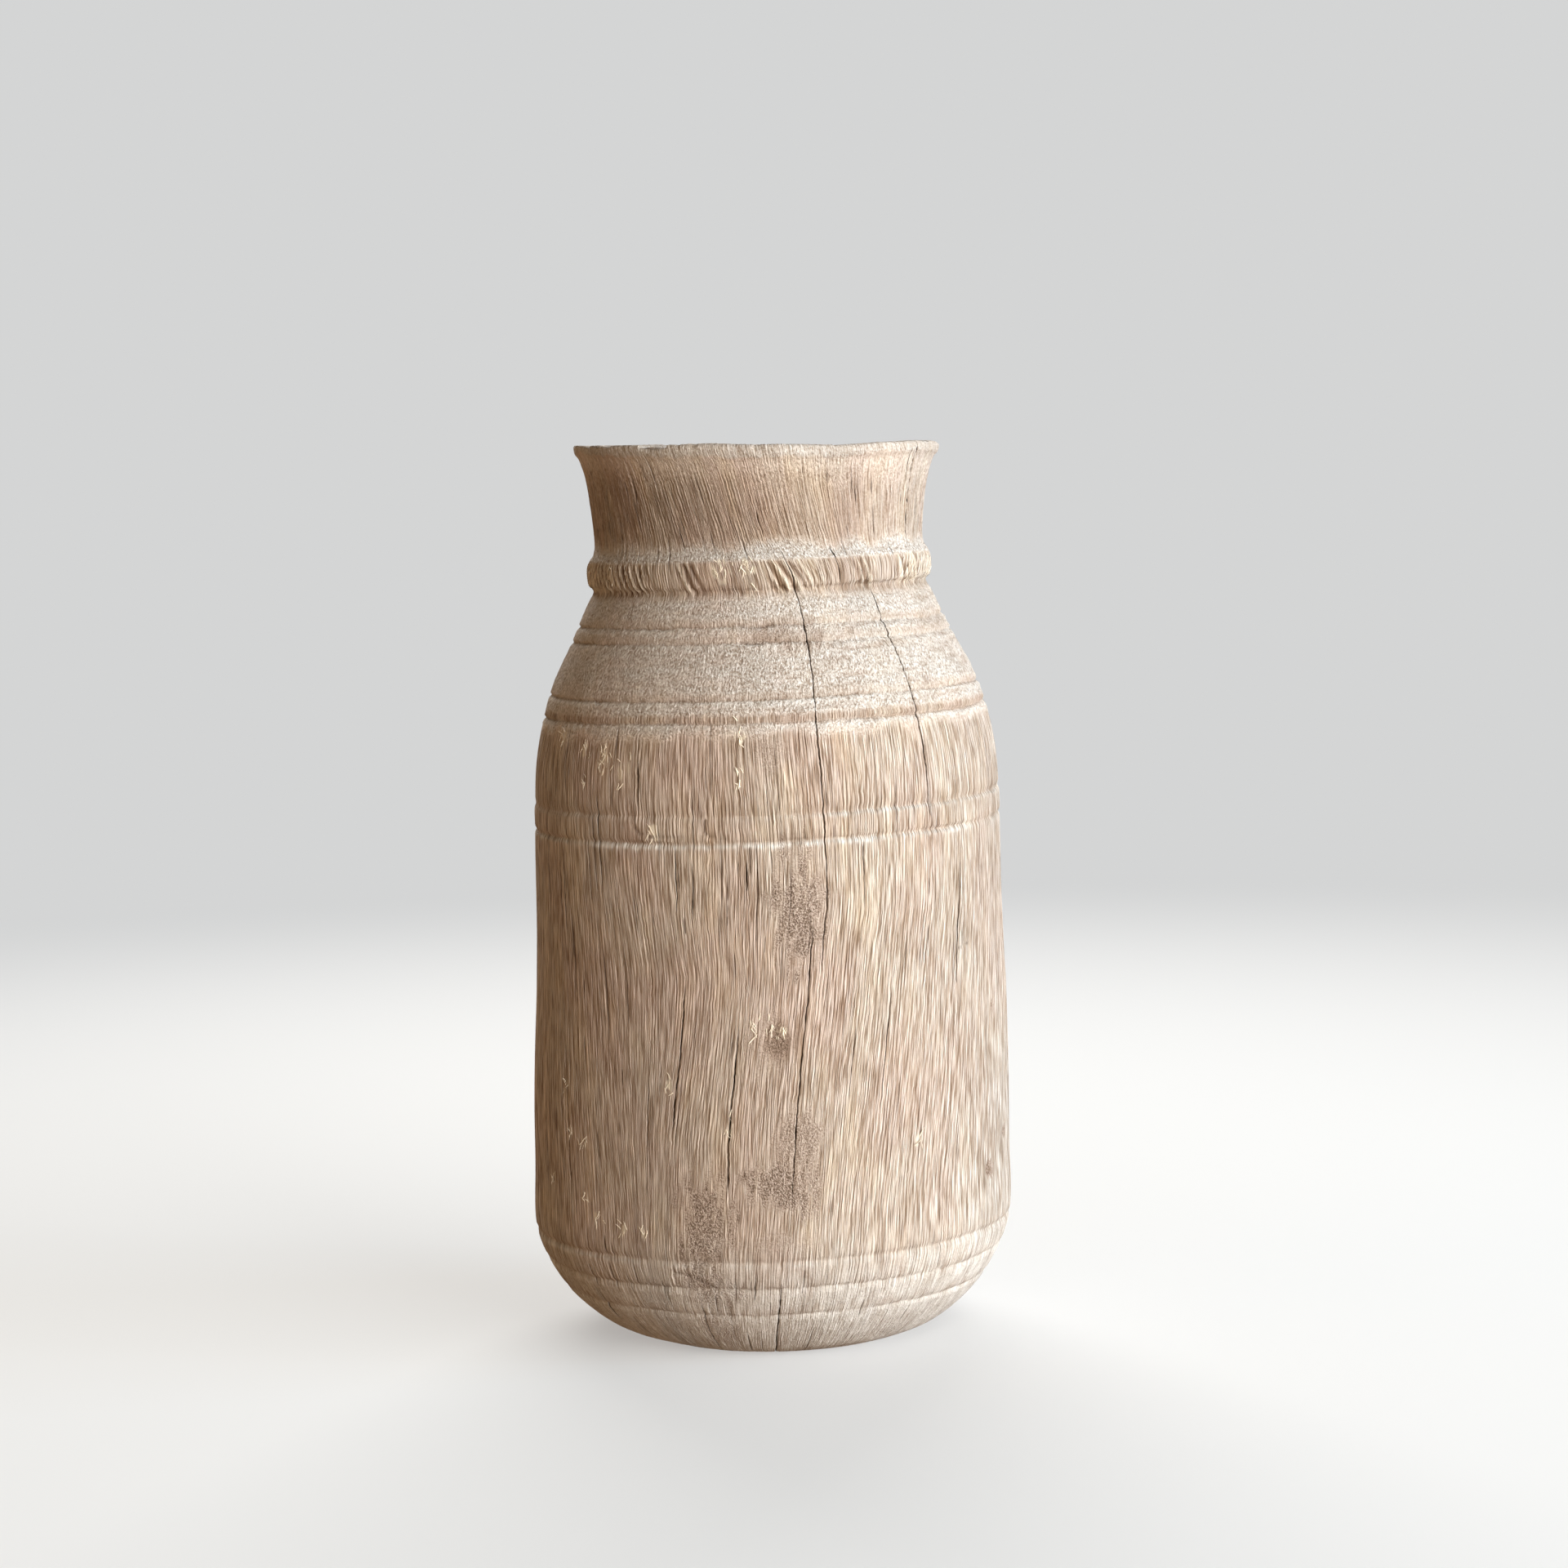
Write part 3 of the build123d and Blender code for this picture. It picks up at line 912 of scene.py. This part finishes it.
class Nodes:
    """Short calls for the nodes of one material or world."""

    def __init__(self, owner, shader="Principled BSDF"):
        owner.use_nodes = True
        self.owner = owner
        self.tree = owner.node_tree
        self.shader = self.tree.nodes[shader]

    def put(self, value, socket):
        if isinstance(value, bpy.types.NodeSocket):
            self.tree.links.new(value, socket)
        else:
            socket.default_value = value

    def shade(self, **inputs):
        """Link or set inputs of the shader, with _ for a space in their names."""
        for name, value in inputs.items():
            self.put(value, self.shader.inputs[name.replace("_", " ")])

    def add(self, kind, inputs=(), output=0, **settings):
        node = self.tree.nodes.new("ShaderNode" + kind)
        for key, value in settings.items():
            setattr(node, key, value)
        for key, value in dict(inputs).items():
            self.put(value, node.inputs[key])
        return node.outputs[output]

    def mask(self, name):
        return self.add("Attribute", output=2, attribute_name=name)

    def vector(self, name):
        return self.add("Attribute", output=1, attribute_name=name)

    def math(self, operation, a, b):
        return self.add("Math", {0: a, 1: b}, operation=operation)

    def times(self, a, b):
        return self.math("MULTIPLY", a, b)

    def plus(self, a, b):
        return self.math("ADD", a, b)

    def minus(self, a, b):
        return self.math("SUBTRACT", a, b)

    def stretched(self, vector, factors):
        return self.add("VectorMath", {0: vector, 1: factors}, operation="MULTIPLY")

    def noise(self, vector, scale, detail=2, roughness=0.5):
        inputs = {"Vector": vector, "Scale": scale, "Detail": detail, "Roughness": roughness}
        return self.add("TexNoise", inputs)

    def cells(self, vector, scale, feature="DISTANCE_TO_EDGE"):
        return self.add("TexVoronoi", {"Vector": vector, "Scale": scale}, feature=feature)

    def remap(self, value, low, high, to_low=0, to_high=1):
        return self.add("MapRange", {0: value, 1: low, 2: high, 3: to_low, 4: to_high}, clamp=True)

    def blend(self, factor, a, b):
        return self.add("Mix", {0: factor, 2: a, 3: b}, data_type="FLOAT")

    def mix(self, factor, a, b, mode="MIX"):
        inputs = {0: factor, 6: a, 7: b}
        return self.add("Mix", inputs, output=2, data_type="RGBA", blend_type=mode)

    def ramp(self, factor, stops):
        socket = self.add("ValToRGB", {0: factor})
        elements = socket.node.color_ramp.elements
        while len(elements) < len(stops):
            elements.new(0.5)
        for element, (position, colour) in zip(elements, stops):
            element.position = position
            element.color = (*colour, 1)
        return socket


# Colours of the wood. A tint multiplies the colour that it lies on.
DARK_TINT, BROWN_TINT = (0.40, 0.32, 0.25), (0.70, 0.64, 0.58)
PINK_TINT, YELLOW_TINT = (0.95, 0.83, 0.84, 1), (1.10, 1.03, 0.84, 1)
# The next tint darkens both dirt and painted shade: groove lines and cut faces, the neck, the
# bead's gaps and under-edge
DIRT_AND_SHADE_TINT = (0.50, 0.41, 0.33, 1)
# The second colour is chalk for frayed fibre, and painted bounce light on the foot
TORN_FIBRE, CHALK_AND_BOUNCE = (0.88, 0.77, 0.60, 1), (0.92, 0.88, 0.81, 1)
CRACK_SHADE = (0.075, 0.040, 0.022, 1)
# Pale wood: bleached, and partly painted light on the +X side, the foot and the groove lips
BLEACHED_AND_LIT = [
    (0, (0.18, 0.125, 0.085)), (0.25, (0.33, 0.26, 0.20)), (0.52, (0.50, 0.44, 0.375)),
    (0.78, (0.68, 0.635, 0.58)), (1, (0.88, 0.86, 0.82)),
]
END_GRAIN = [
    (0, (0.105, 0.066, 0.043)), (0.35, (0.225, 0.155, 0.110)), (0.6, (0.335, 0.245, 0.185)),
    (1, (0.56, 0.44, 0.355)),
]
BUMP_DISTANCE = 0.00065   # metres


def weathered_wood(name, tan):
    """Dry wood whose fibres have tan as their middle colour. The masks of the mesh do the rest."""
    n = Nodes(bpy.data.materials.new(name))
    grain = n.vector("fibre")
    strokes = n.remap(n.cells(n.stretched(grain, (1, 1, 0.06)), 1.7, "F1"), 0.12, 0.62, 1, 0)
    gaps = n.remap(n.cells(n.stretched(grain, (1, 1, 0.035)), 0.95), 0, 0.14, 1, 0)
    grit = n.noise(grain, 1.5, 2, 0.6)
    thread = n.noise(n.stretched(grain, (1, 1, 0.05)), 2.8, 3, 0.62)
    crumbs = n.noise(n.stretched(grain, (1, 1, 0.8)), 1.35, 3, 0.62)
    wrinkles = n.noise(n.stretched(grain, (0.35, 0.35, 1)), 0.8, 3, 0.6)
    broad = n.noise(n.stretched(grain, (1, 1, 0.5)), 0.045, 2, 0.5)
    bands = n.noise(n.stretched(grain, (1, 1, 0.3)), 0.13, 1.5, 0.5)

    granular, ridge = n.mask("granular"), n.mask("ridge")
    pale, knot, torn = n.mask("pale"), n.mask("knot"), n.mask("torn")
    crack, dirt_and_shade = n.mask("crack"), n.mask("dirt_and_shade")

    fibrous = n.plus(n.times(thread, 0.72), n.times(strokes, 0.28))
    crumbly = n.plus(n.times(crumbs, 0.8), n.times(wrinkles, 0.2))
    crumbly = n.blend(knot, crumbly, grit)
    ribbed = n.minus(fibrous, n.times(gaps, 0.45))
    height = n.blend(granular, ribbed, n.times(crumbly, 2.2))
    checks = n.remap(n.mask("outside"), -0.03, 0.05, 1, 0)
    height = n.minus(height, checks)

    spread = n.blend(granular, n.remap(fibrous, 0.30, 0.70), n.remap(crumbly, 0.38, 0.64))
    seams = n.remap(n.cells(n.stretched(grain, (1, 1, 0.045)), 0.62), 0, 0.10, 1, 0)
    seams = n.plus(n.times(seams, 0.18), n.times(gaps, 0.17))
    seams = n.times(seams, n.remap(granular, 0.2, 0.7, 1, 0))
    level = n.plus(n.times(spread, 0.74), n.times(ridge, 0.25))
    level = n.plus(level, n.times(bands, 0.20))
    level = n.minus(n.remap(level, -0.05, 1), seams)
    wood = n.ramp(level, [
        (0, tuple(d * c for d, c in zip(DARK_TINT, tan))),
        (0.25, tuple(b * c for b, c in zip(BROWN_TINT, tan))),
        (0.52, tan),
        (0.78, tuple(1.20 * c + 0.03 for c in tan)),
        (1, tuple(min(1, 1.34 * c + 0.07) for c in tan)),
    ])
    pink = n.mix(n.remap(broad, 0.42, 0.62, 0, 0.45), wood, PINK_TINT, "MULTIPLY")
    yellow = n.remap(bands, 0.50, 0.72, 0, 0.36)
    wood = n.mix(yellow, pink, n.mix(1, pink, YELLOW_TINT, "MULTIPLY"))
    # pale wood: bleached, with painted light on the +X side, the foot and the groove lips
    colour = n.mix(n.times(pale, 0.88), wood, n.ramp(level, BLEACHED_AND_LIT))
    colour = n.mix(n.times(knot, 0.92), colour, n.ramp(level, END_GRAIN))
    colour = n.mix(n.times(torn, 0.8), colour, TORN_FIBRE)
    # darker by dirt, and by painted shade in the grooves, on the neck and on the bead
    colour = n.mix(dirt_and_shade, colour, n.mix(1, colour, DIRT_AND_SHADE_TINT, "MULTIPLY"))
    # chalky fringes of frayed fibre, and painted bounce light on the foot
    colour = n.mix(n.mask("chalk_and_bounce"), colour, CHALK_AND_BOUNCE)
    opening = n.math("MAXIMUM", n.times(crack, 0.93), n.times(checks, 0.85))
    colour = n.mix(opening, colour, CRACK_SHADE)

    roughness = n.remap(level, 0, 1, 0.97, 0.84)
    bump = n.add("Bump", {"Strength": 1, "Distance": BUMP_DISTANCE, "Height": height})
    n.shade(Base_Color=colour, Roughness=roughness, Specular_IOR_Level=0.15, Normal=bump)
    return n.owner


def plain_floor():
    """Pale paper, lit by the lamps near the pot and glowing evenly farther out."""
    near_metres, far_metres = 0.25, 1.3
    near_paper, far_paper = (0.50, 0.50, 0.495, 1), (0, 0, 0, 1)
    near_glow, far_glow = (0.36, 0.365, 0.365, 1), (0.66, 0.665, 0.665, 1)
    n = Nodes(bpy.data.materials.new("studio_floor"))
    level = n.stretched(n.add("TexCoord", output=3), (1, 1, 0))
    away = n.add("VectorMath", {0: level}, output=1, operation="LENGTH")
    span = {0: away, 1: near_metres, 2: far_metres}
    far = n.add("MapRange", span, interpolation_type="SMOOTHSTEP")
    paper, glow = n.mix(far, near_paper, far_paper), n.mix(far, near_glow, far_glow)
    n.shade(Base_Color=paper, Emission_Color=glow, Emission_Strength=1)
    n.shade(Roughness=0.9, Specular_IOR_Level=0)
    return n.owner


# ---- studio

def studio_floor():
    """Flat round floor that sweeps up into a wall all round: a plain backdrop for every view."""
    flat, bend, top = 2600, 1300, 2600
    outline = [(flat * k / 6, 0) for k in range(1, 7)]
    for a in np.linspace(0.08, math.pi / 2, 20):
        outline.append((flat + bend * math.sin(a), bend * (1 - math.cos(a))))
    outline.append((flat + bend, top))
    count = 96
    around = np.linspace(0, 2 * math.pi, count, endpoint=False)
    verts = np.array([(r * math.cos(a), r * math.sin(a), z) for r, z in outline for a in around])
    faces = [tuple(range(count))] + list(tube_faces(0, len(outline), count)[:, ::-1])
    floor = make_piece("studio_floor", verts, faces, {}, plain_floor())
    floor.visible_diffuse = False


# Soft panels: name, angle round the pot, degrees above the level, distance, width and height in
# metres, watts and colour
LIGHTS = [
    ("key", 50, 10, 2.6, 2.6, 1.1, 112, (0.97, 0.99, 1)),
    ("side", 84, 6, 2.4, 1, 1, 46, (0.62, 0.80, 1)),
    ("bounce", 24, 3, 1.5, 0.6, 0.3, 5.5, (1, 0.95, 0.88)),
    ("fill", -75, 8, 1.8, 1.2, 1, 4.6, (1, 0.64, 0.30)),
    ("back", 182, 25, 2.2, 1.8, 1.2, 62, (1, 0.98, 0.95)),
]
LIT_HEIGHT = 0.15         # metres above the floor that the panels face
LOWER_SKY, UPPER_SKY = (0.27, 0.165, 0.09, 1), (0.15, 0.13, 0.105, 1)


def studio_light():
    """The panels, and a dim sky that is browner below, like light reflected by a table."""
    middle = Matrix.Translation((0, 0, LIT_HEIGHT))
    for name, bearing, rise, distance, width, height, watts, colour in LIGHTS:
        data = bpy.data.lights.new(name, "AREA")
        data.shape = "RECTANGLE"
        data.size, data.size_y = width, height
        data.energy = watts
        data.color = colour
        turn = Matrix.Rotation(math.radians(bearing), 4, "Z")
        turn = turn @ Matrix.Rotation(math.radians(90 - rise), 4, "X")
        light = add_object(name, data)
        light.matrix_world = middle @ turn @ Matrix.Translation((0, 0, distance))
    n = Nodes(bpy.data.worlds.new("studio"), "Background")
    up = n.add("SeparateXYZ", {0: n.add("TexCoord")}, output=2)
    n.shade(Color=n.mix(n.remap(up, -0.3, 0.3), LOWER_SKY, UPPER_SKY))
    bpy.context.scene.world = n.owner


def camera():
    """Almost level with the rim, a little to the right of the axis and very slightly rolled."""
    distance, side, height = 1.2896, 0.0066, 0.299      # metres
    pitch, roll = math.radians(5.09), math.radians(-1.44)
    data = bpy.data.cameras.new("camera")
    data.sensor_width = 36
    data.lens = 87.3
    eye = add_object("camera", data)
    turn = Matrix.Rotation(math.pi / 2 - pitch, 4, "X") @ Matrix.Rotation(roll, 4, "Z")
    eye.matrix_world = Matrix.Translation((side, -distance, height)) @ turn
    bpy.context.scene.camera = eye


body = turned_body(weathered_wood("weathered_wood", (0.575, 0.475, 0.385)))
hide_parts("turned_body")
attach(body, "root")

disc = base_disc(weathered_wood("base_wood", (0.42, 0.30, 0.21)))
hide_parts("base_disc")
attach(disc, "root")

studio_floor()
studio_light()
camera()
bpy.context.scene.view_settings.view_transform = "Standard"
